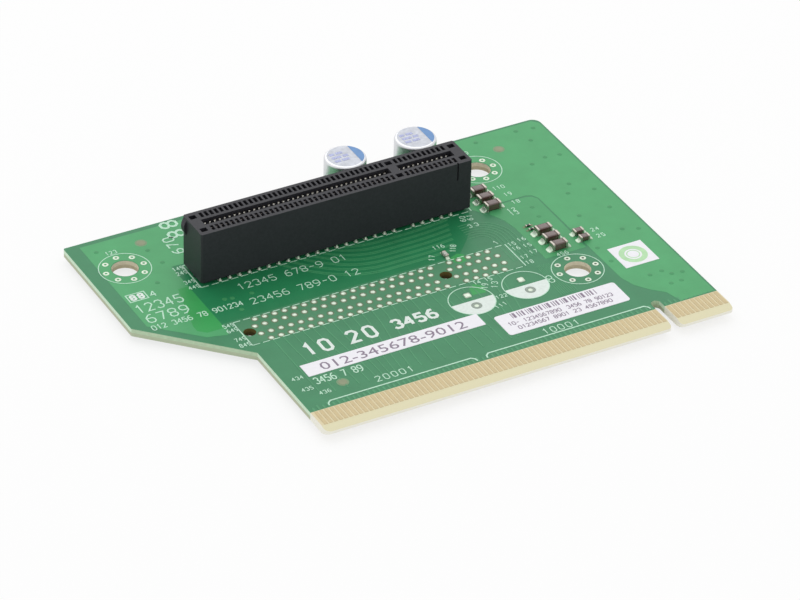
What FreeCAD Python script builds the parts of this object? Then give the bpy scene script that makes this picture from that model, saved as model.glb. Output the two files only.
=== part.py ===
import FreeCAD, Part
import math
import os

from FreeCAD import Vector

# Riser card for a two-unit server: a notched circuit board that plugs edge-on into a
# card slot and carries one eight-lane card slot, with room for a second one.
# Frame: X runs along the connecting edge and is 0 on the key notch's centre line, Y runs
# from that edge into the board, Z is 0 on the solder face and up on the component face.
# All sizes are in millimetres.

# --- Board outline ---------------------------------------------------------------------
board_thickness = 1.57
board_height = 71.4
wing_width = 16.75
neck_height = 26.05
top_corner_radius = 1.8
wing_corner_radius = 0.4
tab_corner_radius = 1.2
key_corner_radius = 0.8
key_width = 1.9
key_depth = 8.25
bevel_length = 1.7
bevel_drop = 0.5

# --- Edge fingers ----------------------------------------------------------------------
finger_pitch = 1.0
finger_width = 0.7
finger_length = 4.0
finger_thickness = 0.04
key_to_first_finger = 1.5
short_tab_fingers = 11
long_tab_fingers = 70
finger_to_short_end = 0.6
finger_to_long_end = 0.95

# --- Mounting holes, placed from the board's edges ------------------------------------
hole_radius = 2.5
hole_to_short_end = 19.15
hole_to_wing_end = 7.35
hole_to_top = 10.85
lower_hole_y = 23.3

# --- Card slots ------------------------------------------------------------------------
slot_to_long_end = 28.35
slot_to_top = 18.7
slot_spacing = 20.32
contact_pitch = 1.0
contacts_before_key = 11
contacts_after_key = 38
contact_step_at_key = 3.0
inner_tail_offset = 1.25
outer_tail_offset = 3.25
peg_spacing = 40.15
peg_diameter = 2.15
peg_hole_clearance = 0.1
peg_reach = 1.1
peg_chamfer = 0.3

# --- Slot housing ----------------------------------------------------------------------
housing_end_margin = 3.0
housing_side_wall = 0.7
housing_height = 11.25
housing_standoff = 0.8
housing_edge_chamfer = 0.25
slot_width = 1.75
slot_floor_height = 2.3
slot_end_margin = 0.83
key_wall = 1.8
window_width = 0.6
window_inner = 1.55
window_outer = 3.05
window_rib_height = 0.6
core_window_length = 1.3
core_window_width = 1.15
core_window_offset = 2.25
core_window_depth = 3.5
core_window_gap = 1.1
face_slit_width = 0.3
face_slit_depth = 0.35
face_slit_height = 3.7
foot_length = 1.2
foot_inset = 0.9
end_tab_height = 3.2
end_tab_bulge = 0.5
end_tab_thickness = 1.2
end_tab_drop = 0.4

# --- Slot contacts ---------------------------------------------------------------------
contact_width = 0.4
contact_thickness = 0.2
contact_base_height = 1.3
contact_bulge_offset = 0.6
contact_bulge_height = 9.0
contact_tip_offset = 0.95
contact_tip_height = 10.45
tail_reach = 0.95
tail_hole_clearance = 0.12
tail_jog_height = 0.55

# --- Electrolytic capacitors -----------------------------------------------------------
can_radius = 4.0
can_height = 8.2
can_top_radius = 0.35
seal_radius = 3.4
seal_height = 0.6
can_lead_spacing = 3.5
can_lead_diameter = 0.6
can_lead_sides = 6
can_lead_reach = 0.9
lead_hole_clearance = 0.15
lead_hole_sides = 8
capacitor_row_to_top = 7.4
capacitor_to_hole = 11.75
capacitor_spacing = 14.9
spare_capacitor_below_hole = 0.2
spare_capacitor_to_hole = 11.13
spare_capacitor_spacing = 11.2
spare_hole_radius = 0.4
spare_hole_sides = 8

# --- Chip parts ------------------------------------------------------------------------
# Each kind: length, width, height, length of one end cap
large_chip = (3.2, 1.6, 1.5, 0.5)
medium_chip = (2.0, 1.25, 1.0, 0.4)
small_chip = (1.6, 0.8, 0.7, 0.35)
tiny_chip = (1.0, 0.5, 0.35, 0.22)
end_cap_overlap = 0.04
chip_pad_extension = 0.55
chip_pad_thickness = 0.05
# Places: right of the fitted slot's end and below its axis, or right of and above the
# lower mounting hole, or right of the key and above the axis of the empty slot
upper_chip_shift = (4.0, -2.15)
upper_chip_pitch = 2.75
lower_chip_shift = (0.35, 10.4)
lower_chip_pitch = 2.85
pair_chip_shift = (6.0, 8.95)
pair_chip_pitch = 2.2
resistor_shift = (-1.15, 15.6)
resistor_pitch = 1.25
lone_chip_shift = (2.9, 5.5)

# --- Labels ----------------------------------------------------------------------------
label_thickness = 0.08
strip_label_width = 3.65
strip_label_y = 15.45
strip_label_to_long_end = 4.75
label_gap = 2.15
bar_label_length = 25.2
bar_label_width = 6.3
bar_label_y = 10.4
bar_label_past_hole = 3.6
bar_label_corner = 0.6
square_label_length = 7.1
square_label_width = 6.9
square_label_shift = (8.05, -3.9)

# --- Worked-out places -----------------------------------------------------------------
component_face = board_thickness
key_to_short_end = key_to_first_finger + (short_tab_fingers - 1) * finger_pitch + finger_to_short_end
key_to_long_end = key_to_first_finger + (long_tab_fingers - 1) * finger_pitch + finger_to_long_end
hole_column_x = key_to_short_end - hole_to_short_end
hole_row_y = board_height - hole_to_top
wing_hole_x = hole_to_wing_end - key_to_long_end - wing_width
slot_centre_x = slot_to_long_end - key_to_long_end
slot_axis_y = board_height - slot_to_top
contact_row_length = (contacts_before_key + contacts_after_key - 2) * contact_pitch
contact_row_length = contact_row_length + contact_step_at_key
housing_length = contact_row_length + 2 * housing_end_margin
housing_width = 2 * (window_outer + housing_side_wall)
slot_end_x = slot_centre_x + housing_length / 2
last_contact_x = slot_centre_x - contact_row_length / 2
first_contact_x = slot_centre_x + contact_row_length / 2
key_centre_x = first_contact_x - (contacts_before_key - 1) * contact_pitch
key_centre_x = key_centre_x - contact_step_at_key / 2
peg_places_x = [key_centre_x, key_centre_x - peg_spacing]
empty_slot_axis_y = slot_axis_y - slot_spacing
capacitor_row_y = board_height - capacitor_row_to_top
first_capacitor_x = hole_column_x - capacitor_to_hole
capacitor_columns_x = [first_capacitor_x - capacitor_spacing, first_capacitor_x]
spare_capacitor_row_y = lower_hole_y - spare_capacitor_below_hole
first_spare_x = hole_column_x - spare_capacitor_to_hole
spare_capacitor_columns_x = [first_spare_x - spare_capacitor_spacing, first_spare_x]
bar_label_x = hole_column_x + bar_label_past_hole - bar_label_length
strip_label_x = strip_label_to_long_end - key_to_long_end
strip_label_length = bar_label_x - label_gap - strip_label_x

os.makedirs("parts", exist_ok=True)


def box(x_min, y_min, z_min, length, width, height):
    """Box from its lowest corner and its three sizes."""
    return Part.makeBox(length, width, height, Vector(x_min, y_min, z_min))


def cylinder(x, y, z_min, radius, height):
    """Upright cylinder from the centre of its foot."""
    return Part.makeCylinder(radius, height, Vector(x, y, z_min))


def prism(points, thickness):
    """Closed polygon pushed out along its own normal direction by a vector."""
    wire = Part.makePolygon(points + [points[0]])
    return Part.Face(wire).extrude(thickness)


def small_round(x, y, z_min, radius, height, sides):
    """Few-sided prism in place of a small round pad or wire, as wide across as it."""
    points = []
    for corner in range(sides):
        angle = 2 * math.pi * (corner + 0.5) / sides
        points.append(Vector(x + radius * math.cos(angle), y + radius * math.sin(angle), z_min))
    return prism(points, Vector(0, 0, height))


def is_upright(edge):
    """True for a straight edge that runs along Z."""
    ends = [vertex.Point for vertex in edge.Vertexes]
    if len(ends) != 2:
        return False
    run = ends[1] - ends[0]
    return abs(run.x) < 1e-6 and abs(run.y) < 1e-6


def save(name, shape):
    """Write one node as a STEP file."""
    shape.exportStep("parts/" + name + ".step")


def save_group(name, solids):
    """Write several separate solids as one node."""
    save(name, Part.makeCompound(solids))


def contact_positions():
    """X of every contact pair, from the short side of the key to the far end."""
    places = [first_contact_x - contact_pitch * index for index in range(contacts_before_key)]
    after_key = places[-1] - contact_step_at_key
    places += [after_key - contact_pitch * index for index in range(contacts_after_key)]
    return places


def finger_positions():
    """X of every edge finger on both tabs."""
    short_tab = [key_to_first_finger + finger_pitch * index for index in range(short_tab_fingers)]
    long_tab = [-key_to_first_finger - finger_pitch * index for index in range(long_tab_fingers)]
    return short_tab + long_tab


def mounting_hole_places():
    """Centres of the three mounting holes: upper left, upper right, lower right."""
    return [(wing_hole_x, hole_row_y), (hole_column_x, hole_row_y), (hole_column_x, lower_hole_y)]


def tail_offset(index):
    """Distance of a contact's tail from the slot's axis: the rows are staggered."""
    if index % 2 == 0:
        return inner_tail_offset
    return outer_tail_offset


# --- Circuit board ---------------------------------------------------------------------
def round_corner(outline, x, y, radius):
    """Round the upright edge of the board that stands at x, y."""
    for edge in outline.Edges:
        if is_upright(edge) and (edge.Vertexes[0].Point - Vector(x, y, 0)).Length < 1e-6:
            return outline.makeFillet(radius, [edge])
        if is_upright(edge) and (edge.Vertexes[1].Point - Vector(x, y, 0)).Length < 1e-6:
            return outline.makeFillet(radius, [edge])
    return outline


def board_blank():
    """Board outline: long tab, short tab, key notch and the wing beside the long tab."""
    wing_x = -key_to_long_end - wing_width
    corners = [
        (key_to_short_end, 0),
        (key_to_short_end, board_height),
        (wing_x, board_height),
        (wing_x, neck_height + wing_width),
        (-key_to_long_end, neck_height),
        (-key_to_long_end, 0),
    ]
    points = [Vector(x, y, 0) for x, y in corners]
    blank = prism(points, Vector(0, 0, board_thickness))
    blank = round_corner(blank, key_to_short_end, board_height, top_corner_radius)
    blank = round_corner(blank, wing_x, board_height, wing_corner_radius)
    blank = round_corner(blank, wing_x, neck_height + wing_width, wing_corner_radius)
    blank = round_corner(blank, -key_to_long_end, 0, tab_corner_radius)
    blank = round_corner(blank, key_to_short_end, 0, key_corner_radius)
    return blank


def key_notch():
    """Slot with a round end that tells the two tabs apart."""
    straight = key_depth - key_width / 2
    notch = box(-key_width / 2, -1, -1, key_width, straight + 1, board_thickness + 2)
    return notch.fuse(cylinder(0, straight, -1, key_width / 2, board_thickness + 2))


def notch_corner_cutter(side):
    """Rounds off the tab corner beside the notch, on the left (-1) or right (+1)."""
    edge_x = side * key_width / 2
    centre_x = edge_x + side * key_corner_radius
    block = box(min(edge_x, centre_x), -1, -1, key_corner_radius, key_corner_radius + 1, board_thickness + 2)
    return block.cut(cylinder(centre_x, key_corner_radius, -2, key_corner_radius, board_thickness + 4))


def edge_bevel(on_top):
    """Long wedge that thins the connecting edge on one face."""
    face_z = board_thickness if on_top else 0
    outward = 1 if on_top else -1
    start_x = -key_to_long_end - 1
    points = [
        Vector(start_x, bevel_length, face_z),
        Vector(start_x, -1, face_z - outward * bevel_drop * (bevel_length + 1) / bevel_length),
        Vector(start_x, -1, face_z + outward),
        Vector(start_x, bevel_length, face_z + outward),
    ]
    return prism(points, Vector(key_to_long_end + key_to_short_end + 2, 0, 0))


def board_cutters():
    """Everything drilled through the board, apart from the notch."""
    through = board_thickness + 2
    cutters = []
    for x, y in mounting_hole_places():
        cutters.append(cylinder(x, y, -1, hole_radius, through))
    peg_hole_radius = peg_diameter / 2 + peg_hole_clearance
    for axis_y in (slot_axis_y, empty_slot_axis_y):
        for x in peg_places_x:
            cutters.append(cylinder(x, axis_y, -1, peg_hole_radius, through))
    tail_hole_x = contact_width + 2 * tail_hole_clearance
    tail_hole_y = contact_thickness + 2 * tail_hole_clearance
    for index, x in enumerate(contact_positions()):
        for side in (-1, 1):
            y = slot_axis_y + side * tail_offset(index)
            cutters.append(box(x - tail_hole_x / 2, y - tail_hole_y / 2, -1, tail_hole_x, tail_hole_y, through))
    lead_hole_radius = can_lead_diameter / 2 + lead_hole_clearance
    for x in capacitor_columns_x:
        for side in (-1, 1):
            lead_x = x + side * can_lead_spacing / 2
            cutters.append(
                small_round(lead_x, capacitor_row_y, -1, lead_hole_radius, through, lead_hole_sides)
            )
    for x in spare_capacitor_columns_x:
        y = spare_capacitor_row_y - can_lead_spacing / 2
        cutters.append(small_round(x, y, -1, spare_hole_radius, through, spare_hole_sides))
    return cutters


def circuit_board():
    board = board_blank().cut([key_notch(), notch_corner_cutter(-1), notch_corner_cutter(1)])
    board = board.cut([edge_bevel(True), edge_bevel(False)])
    return board.cut(board_cutters())


save("circuit_board", circuit_board())


# --- Edge fingers, one strip of copper for each contact of the mating slot ---------------
def fingers(z_min):
    return [
        box(x - finger_width / 2, bevel_length, z_min, finger_width, finger_length, finger_thickness)
        for x in finger_positions()
    ]


save_group("gold_fingers_component_side", fingers(component_face))
save_group("gold_fingers_solder_side", fingers(-finger_thickness))


# --- Slot housing: one moulding with a two-part slot, a cavity for each contact, core
# windows at the key and ends, two locating pegs and feet that hold it off the board --------
def contact_cavity(x, side):
    """Upright cavity behind the slot wall, open below and, past a rib, at the top."""
    bottom = component_face + housing_standoff - 1
    rib = component_face + housing_height - window_rib_height
    top = component_face + housing_height + 1
    breakthrough = slot_width / 2
    section = [
        (breakthrough, bottom),
        (window_outer, bottom),
        (window_outer, top),
        (window_inner, top),
        (window_inner, rib),
        (breakthrough, rib),
    ]
    points = [Vector(x - window_width / 2, slot_axis_y + side * y, z) for y, z in section]
    return prism(points, Vector(window_width, 0, 0))


def slot_cavity(x_min, x_max):
    """One length of the slot that takes the card's tab."""
    floor = component_face + slot_floor_height
    height = housing_height - slot_floor_height + 1
    return box(x_min, slot_axis_y - slot_width / 2, floor, x_max - x_min, slot_width, height)


def core_windows():
    """Square windows beside the slot's ends and key that thin the thick plastic."""
    end_shift = core_window_gap + core_window_length / 2
    centres_x = [first_contact_x + end_shift, key_centre_x, last_contact_x - end_shift]
    z_min = component_face + housing_height - core_window_depth
    windows = []
    for x in centres_x:
        for side in (-1, 1):
            y_min = slot_axis_y + side * core_window_offset - core_window_width / 2
            windows.append(
                box(x - core_window_length / 2, y_min, z_min, core_window_length, core_window_width,
                    core_window_depth + 1)
            )
    return windows


def end_tab():
    """Shallow rounded tab that stands out of the end wall at the far end."""
    chord = end_tab_height
    radius = chord * chord / (8 * end_tab_bulge) + end_tab_bulge / 2
    end_x = slot_centre_x - housing_length / 2
    mid_z = component_face + housing_height - end_tab_drop - chord / 2
    y_min = slot_axis_y + housing_width / 2 - housing_edge_chamfer - end_tab_thickness
    lower = Vector(end_x, y_min, mid_z - chord / 2)
    outer = Vector(end_x - end_tab_bulge, y_min, mid_z)
    upper = Vector(end_x, y_min, mid_z + chord / 2)
    arc = Part.Arc(lower, outer, upper).toShape()
    wire = Part.Wire([arc, Part.makeLine(upper, lower)])
    return Part.Face(wire).extrude(Vector(0, end_tab_thickness, 0))


def slot_housing():
    x_min = slot_centre_x - housing_length / 2
    y_min = slot_axis_y - housing_width / 2
    z_min = component_face + housing_standoff
    body = box(x_min, y_min, z_min, housing_length, housing_width, housing_height - housing_standoff)
    body = body.makeChamfer(housing_edge_chamfer, [edge for edge in body.Edges if is_upright(edge)])
    additions = [end_tab()]
    foot_width = housing_width - 2 * foot_inset
    for foot_x in (x_min + foot_inset, x_min + housing_length - foot_inset - foot_length):
        additions.append(
            box(foot_x, y_min + foot_inset, component_face, foot_length, foot_width, housing_standoff)
        )
    for x in peg_places_x:
        peg = cylinder(x, slot_axis_y, -peg_reach, peg_diameter / 2, z_min + peg_reach)
        tip_edges = [edge for edge in peg.Edges if abs(edge.BoundBox.ZMax + peg_reach) < 1e-6]
        additions.append(peg.makeChamfer(peg_chamfer, tip_edges))
    body = body.fuse(additions)
    cutters = core_windows()
    cutters.append(slot_cavity(last_contact_x - slot_end_margin, key_centre_x - key_wall / 2))
    cutters.append(slot_cavity(key_centre_x + key_wall / 2, first_contact_x + slot_end_margin))
    slit_z = component_face + housing_height - face_slit_height
    cutters.append(
        box(first_contact_x - face_slit_width / 2, y_min - 1, slit_z, face_slit_width,
            face_slit_depth + 1, face_slit_height + 1)
    )
    for x in contact_positions():
        cutters.append(contact_cavity(x, -1))
        cutters.append(contact_cavity(x, 1))
    return body.cut(cutters).removeSplitter()


save("slot_housing", slot_housing())


# --- Slot contacts: stamped springs, each with a tail through the board, a leg in its
# cavity, a bulge that presses on the card and a tip tucked behind the rib ------------------
def strip_outline(path, thickness):
    """Outline of a bent strip: each point of its centre line is shifted half the
    thickness to both sides, along the line that halves the bend there."""
    left = []
    right = []
    for index, point in enumerate(path):
        before = path[max(index - 1, 0)]
        after = path[min(index + 1, len(path) - 1)]
        run_in = (point - before) if index > 0 else (after - point)
        run_out = (after - point) if index < len(path) - 1 else (point - before)
        run_in.normalize()
        run_out.normalize()
        normal_in = Vector(0, -run_in.z, run_in.y)
        normal_out = Vector(0, -run_out.z, run_out.y)
        normal = normal_in + normal_out
        normal.normalize()
        shift = thickness / 2 / normal.dot(normal_in)
        left.append(point + normal * shift)
        right.append(point - normal * shift)
    return left + right[::-1]


def contact(index, x, side):
    """One spring contact; its tail is on the inner or the outer row."""
    offset = tail_offset(index)
    path = [(offset, -tail_reach)]
    if offset > inner_tail_offset:
        path.append((offset, component_face + tail_jog_height))
        path.append((inner_tail_offset, component_face + contact_base_height))
    else:
        path.append((offset, component_face + contact_base_height))
    path.append((contact_bulge_offset, component_face + contact_bulge_height))
    path.append((contact_tip_offset, component_face + contact_tip_height))
    centre_line = [Vector(x - contact_width / 2, slot_axis_y + side * y, z) for y, z in path]
    return prism(strip_outline(centre_line, contact_thickness), Vector(contact_width, 0, 0))


for row_name, side in (("front", -1), ("back", 1)):
    row = [contact(index, x, side) for index, x in enumerate(contact_positions())]
    save_group("slot_contacts_" + row_name + "_row", row)


# --- Electrolytic capacitors: aluminium can crimped over a rubber seal, on two leads --------
def capacitor_can(x):
    z_foot = component_face + seal_height
    z_top = z_foot + can_height
    section = [
        (0, z_foot),
        (can_radius, z_foot),
        (can_radius, z_top - can_top_radius),
        (can_radius - can_top_radius, z_top),
        (0, z_top),
    ]
    points = [Vector(x + r, capacitor_row_y, z) for r, z in section]
    face = Part.Face(Part.makePolygon(points + [points[0]]))
    return face.revolve(Vector(x, capacitor_row_y, 0), Vector(0, 0, 1), 360)


def capacitor_seal(x):
    return cylinder(x, capacitor_row_y, component_face, seal_radius, seal_height)


def capacitor_leads(x):
    """Both leads, from the seal's face down through the board."""
    length = can_lead_reach + component_face
    return [
        small_round(x + side * can_lead_spacing / 2, capacitor_row_y, -can_lead_reach,
                    can_lead_diameter / 2, length, can_lead_sides)
        for side in (-1, 1)
    ]


for number, column_x in enumerate(capacitor_columns_x, start=1):
    name = "capacitor_%d_" % number
    save(name + "can", capacitor_can(column_x))
    save(name + "seal", capacitor_seal(column_x))
    save_group(name + "leads", capacitor_leads(column_x))


# --- Chip parts: a ceramic block with a plated cap on each end, on two soldered pads ---------
def chip_block(kind, x, y, along_y):
    """Ceramic block, a little slimmer than its end caps."""
    length, width, height, cap = kind
    block = box(
        -length / 2 + cap, -width / 2 + end_cap_overlap, chip_pad_thickness + end_cap_overlap,
        length - 2 * cap, width - 2 * end_cap_overlap, height - 2 * end_cap_overlap,
    )
    return placed(block, x, y, along_y)


def chip_caps(kind, x, y, along_y):
    """Both plated end caps."""
    length, width, height, cap = kind
    caps = [
        box(-length / 2, -width / 2, chip_pad_thickness, cap, width, height),
        box(length / 2 - cap, -width / 2, chip_pad_thickness, cap, width, height),
    ]
    return [placed(piece, x, y, along_y) for piece in caps]


def chip_pads(kind, x, y, along_y):
    """Both solder-covered pads under the end caps, longer than the caps."""
    length, width, height, cap = kind
    pad_length = cap + chip_pad_extension
    pads = [
        box(-length / 2 - chip_pad_extension, -width / 2, 0, pad_length, width, chip_pad_thickness),
        box(length / 2 - cap, -width / 2, 0, pad_length, width, chip_pad_thickness),
    ]
    return [placed(piece, x, y, along_y) for piece in pads]


def placed(solid, x, y, along_y):
    """Turn a chip's piece if it lies along Y, and set it on the component face."""
    if along_y:
        solid.rotate(Vector(0, 0, 0), Vector(0, 0, 1), 90)
    solid.translate(Vector(x, y, component_face))
    return solid


def chip_list():
    """Name, kind, place and direction of every chip part on the board."""
    chips = []
    rows = [
        ("chip_capacitor", large_chip, slot_end_x, slot_axis_y, upper_chip_shift, 3, upper_chip_pitch, False),
        ("chip_capacitor", large_chip, hole_column_x, lower_hole_y, lower_chip_shift, 3, lower_chip_pitch, False),
        ("chip_capacitor", medium_chip, hole_column_x, lower_hole_y, pair_chip_shift, 2, pair_chip_pitch, False),
        ("chip_capacitor", small_chip, key_centre_x, empty_slot_axis_y, lone_chip_shift, 1, 0, True),
        ("chip_resistor", tiny_chip, hole_column_x, lower_hole_y, resistor_shift, 2, resistor_pitch, False),
    ]
    for name, kind, base_x, base_y, shift, count, pitch, along_y in rows:
        for index in range(count):
            y = base_y + shift[1] + pitch * ((count - 1) / 2 - index)
            chips.append((name, kind, base_x + shift[0], y, along_y))
    return chips


chip_counts = {}
all_chip_pads = []
for chip_name, kind, chip_x, chip_y, along_y in chip_list():
    chip_counts[chip_name] = chip_counts.get(chip_name, 0) + 1
    name = "%s_%d" % (chip_name, chip_counts[chip_name])
    save(name + "_body", chip_block(kind, chip_x, chip_y, along_y))
    save_group(name + "_end_caps", chip_caps(kind, chip_x, chip_y, along_y))
    all_chip_pads += chip_pads(kind, chip_x, chip_y, along_y)
save_group("chip_solder_pads", all_chip_pads)


# --- Labels -------------------------------------------------------------------------------------
def label(x_min, y_min, length, width):
    """Thin sheet stuck on the component face."""
    return box(x_min, y_min, component_face, length, width, label_thickness)


save("strip_label", label(strip_label_x, strip_label_y, strip_label_length, strip_label_width))
bar_sheet = label(bar_label_x, bar_label_y, bar_label_length, bar_label_width)
save("bar_label", bar_sheet.makeFillet(bar_label_corner, [edge for edge in bar_sheet.Edges if is_upright(edge)]))
square_x = hole_column_x + square_label_shift[0]
square_y = lower_hole_y + square_label_shift[1]
save("square_label", label(square_x, square_y, square_label_length, square_label_width))
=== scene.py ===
import math

import bmesh
import bpy
import numpy as np
from mathutils import Matrix, Vector


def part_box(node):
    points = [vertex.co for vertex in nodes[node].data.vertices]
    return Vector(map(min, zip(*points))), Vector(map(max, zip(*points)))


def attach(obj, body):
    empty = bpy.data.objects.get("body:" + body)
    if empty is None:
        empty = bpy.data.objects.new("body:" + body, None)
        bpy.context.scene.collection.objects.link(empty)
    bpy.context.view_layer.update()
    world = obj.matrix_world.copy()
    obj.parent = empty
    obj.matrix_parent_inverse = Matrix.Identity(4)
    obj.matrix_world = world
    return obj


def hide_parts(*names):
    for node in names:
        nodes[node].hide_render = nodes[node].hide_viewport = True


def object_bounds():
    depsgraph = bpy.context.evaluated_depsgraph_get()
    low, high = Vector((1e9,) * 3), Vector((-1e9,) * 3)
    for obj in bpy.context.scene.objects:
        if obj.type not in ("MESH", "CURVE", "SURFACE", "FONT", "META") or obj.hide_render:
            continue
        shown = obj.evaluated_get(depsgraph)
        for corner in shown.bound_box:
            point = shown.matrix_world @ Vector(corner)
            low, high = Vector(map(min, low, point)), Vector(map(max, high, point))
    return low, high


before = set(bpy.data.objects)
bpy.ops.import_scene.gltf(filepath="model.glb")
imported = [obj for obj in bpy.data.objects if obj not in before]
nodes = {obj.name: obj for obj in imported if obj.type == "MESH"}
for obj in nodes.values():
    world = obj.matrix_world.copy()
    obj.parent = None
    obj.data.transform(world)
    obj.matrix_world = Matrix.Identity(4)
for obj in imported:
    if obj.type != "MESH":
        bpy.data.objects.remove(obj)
cad_low, cad_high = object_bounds()


# --- Circuit board -----------------------------------------------------------------------
# Glass-fibre laminate with copper layers inside, routed to its outline, drilled, and coated
# with green solder resist on both faces. The connecting edge is left bare and bevelled.
def linear(red, green, blue):
    """Linear colour from three values of 0 to 255: v/12.92 near black, else ((v+0.055)/1.055)^2.4."""
    v = np.array([red, green, blue]) / 255.0
    v = np.where(v <= 0.04045, v / 12.92, ((v + 0.055) / 1.055) ** 2.4)
    return (float(v[0]), float(v[1]), float(v[2]), 1.0)


def added(tree, kind, values=(), **settings):
    """New shader node, with settings of its own and a value for each named input."""
    node = tree.nodes.new("ShaderNode" + kind)
    for setting, value in settings.items():
        setattr(node, setting, value)
    for entry, value in dict(values).items():
        node.inputs[entry].default_value = value
    return node


def wire(tree, source, output, target, entry):
    """Link from one node's output to another's input."""
    tree.links.new(source.outputs[output], target.inputs[entry])


def finish(name, colour, roughness, metallic=0.0, mottle=0.1, grain=1500.0, relief=0.01, specular=0.5):
    """Surface finish: the colour times a factor from 1 - mottle to 1 + mottle that follows a
    noise with grain cells in a metre, read in object coordinates so that it stays on the piece,
    and a bump of the given relief in millimetres that follows the same noise."""
    material = bpy.data.materials.new(name)
    material.use_nodes = True
    tree = material.node_tree
    shader = tree.nodes["Principled BSDF"]
    for entry, value in (("Roughness", roughness), ("Metallic", metallic), ("Specular IOR Level", specular)):
        shader.inputs[entry].default_value = value
    place = added(tree, "TexCoord")
    noise = added(tree, "TexNoise", {"Scale": grain, "Detail": 3.0})
    wire(tree, place, "Object", noise, "Vector")
    ramp = added(tree, "ValToRGB")
    for stop, position, factor in zip(ramp.color_ramp.elements, (0.3, 0.7), (1 - mottle, 1 + mottle)):
        stop.position = position
        stop.color = [min(1.0, c * factor) for c in colour[:3]] + [1.0]
    wire(tree, noise, "Fac", ramp, "Fac")
    wire(tree, ramp, "Color", shader, "Base Color")
    bump = added(tree, "Bump", {"Strength": 0.5, "Distance": relief * 0.001})
    wire(tree, noise, "Fac", bump, "Height")
    wire(tree, bump, "Normal", shader, "Normal")
    return material


def dress(node, material):
    """Give a carried-over CAD node one finish."""
    nodes[node].data.materials.clear()
    nodes[node].data.materials.append(material)


def polygon_vectors(mesh, kind):
    """One vector for each polygon of a mesh: its normal, or its center in metres."""
    values = np.empty(len(mesh.polygons) * 3)
    mesh.polygons.foreach_get(kind, values)
    return values.reshape(-1, 3)


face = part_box("circuit_board")[1].z * 1000
resist_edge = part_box("gold_fingers_component_side")[1].y * 1000 + 0.2
hole_places = [(-80.85, 60.55), (-7.05, 60.55), (-7.05, 23.3)]
hole_radius = 2.5
resist_colour = linear(63, 134, 93)
laminate_colour = linear(222, 209, 172)


def end_resist(tree, split, source, output, bare_colour):
    """Base colour: the source's, and bare_colour below the line where the fingers end."""
    bare = added(tree, "Math", {1: resist_edge * 0.001}, operation="LESS_THAN")
    wire(tree, split, "Y", bare, 0)
    mix = added(tree, "Mix", {"B": bare_colour}, data_type="RGBA")
    wire(tree, bare, "Value", mix, "Factor")
    wire(tree, source, output, mix, "A")
    wire(tree, mix, "Result", tree.nodes["Principled BSDF"], "Base Color")


def resist(name, colour):
    """Solder resist over glass cloth: the colour is mottled, crossed by two fine waves for the
    cloth, and gives way to bare laminate below the line where the fingers end."""
    material = finish(name, colour, 0.38, mottle=0.05, grain=260.0, relief=0.012, specular=0.25)
    tree = material.node_tree
    found = {node.type: node for node in tree.nodes}
    split = added(tree, "SeparateXYZ")
    wire(tree, found["TEX_COORD"], "Object", split, "Vector")
    weave = added(tree, "Math", operation="MULTIPLY")
    for entry, direction in enumerate("XY"):
        wave = added(tree, "TexWave", {"Scale": 330.0, "Distortion": 1.5}, bands_direction=direction)
        wire(tree, found["TEX_COORD"], "Object", wave, "Vector")
        wire(tree, wave, "Fac", weave, entry)
    second = added(tree, "Bump", {"Strength": 0.35, "Distance": 0.000006})
    wire(tree, weave, "Value", second, "Height")
    wire(tree, found["BUMP"], "Normal", second, "Normal")
    wire(tree, second, "Normal", tree.nodes["Principled BSDF"], "Normal")
    end_resist(tree, split, found["VALTORGB"], "Color", laminate_colour)
    return material


def layered(name, colour, lower_colour, bare_colour, roughness):
    """Cut laminate: colour above the middle layer and lower_colour under it, both crossed by
    thin level bands, one per glass layer, and bare_colour where the resist has ended."""
    material = finish(name, colour, roughness, mottle=0.06, relief=0.03, specular=0.3)
    tree = material.node_tree
    found = {node.type: node for node in tree.nodes}
    split = added(tree, "SeparateXYZ")
    wire(tree, found["TEX_COORD"], "Object", split, "Vector")
    middle_low, middle_high = 0.0006, 0.0009
    rise = added(tree, "MapRange", {"From Min": middle_low, "From Max": middle_high})
    wire(tree, split, "Z", rise, "Value")
    halves = added(tree, "Mix", {"A": lower_colour}, data_type="RGBA")
    wire(tree, rise, "Result", halves, "Factor")
    wire(tree, found["VALTORGB"], "Color", halves, "B")
    wave = added(tree, "TexWave", {"Scale": 900.0, "Distortion": 0.6}, bands_direction="Z")
    wire(tree, found["TEX_COORD"], "Object", wave, "Vector")
    bands = added(tree, "Mix", {"Factor": 0.1}, data_type="RGBA", blend_type="MULTIPLY")
    wire(tree, halves, "Result", bands, "A")
    wire(tree, wave, "Color", bands, "B")
    end_resist(tree, split, bands, "Result", bare_colour)
    return material


board = nodes["circuit_board"]
board.data.materials.clear()
cream = linear(229, 223, 187)
# The next colour is the bare laminate painted paler than the bevel's cream: painted light on the cut walls below the
# line where the fingers end.
bare_cut_painted_light = linear(247, 245, 232)
for board_finish in (
    resist("resist_plain", resist_colour),
    layered("routed_edge", linear(190, 214, 180), linear(186, 198, 168), bare_cut_painted_light, 0.6),
    layered("drilled_wall", linear(236, 228, 204), linear(210, 200, 172), cream, 0.7),
    layered("bevelled_edge", cream, cream, cream, 0.6),
    # The walls that face -X take a lighter copy of the routed edge's colours: painted light on the side that faces the
    # light.
    layered("left_wall_painted_light", linear(214, 240, 212), linear(190, 196, 168), bare_cut_painted_light, 0.6),
    # Walls of the holes in the slots' area take a dark olive copy of the drilled laminate: painted shade for the
    # insides of the holes.
    layered("peg_hole_wall_painted_shade", linear(112, 98, 50), linear(86, 74, 36), cream, 0.8),
):
    board.data.materials.append(board_finish)
plain, routed, drilled, bevelled, lit_left_wall, shaded_peg_wall = range(6)
normal = polygon_vectors(board.data, "normal")
centre = polygon_vectors(board.data, "center") * 1000
upright = np.abs(normal[:, 2]) < 0.5
sloped = (np.abs(normal[:, 2]) < 0.995) & ~upright
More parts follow.
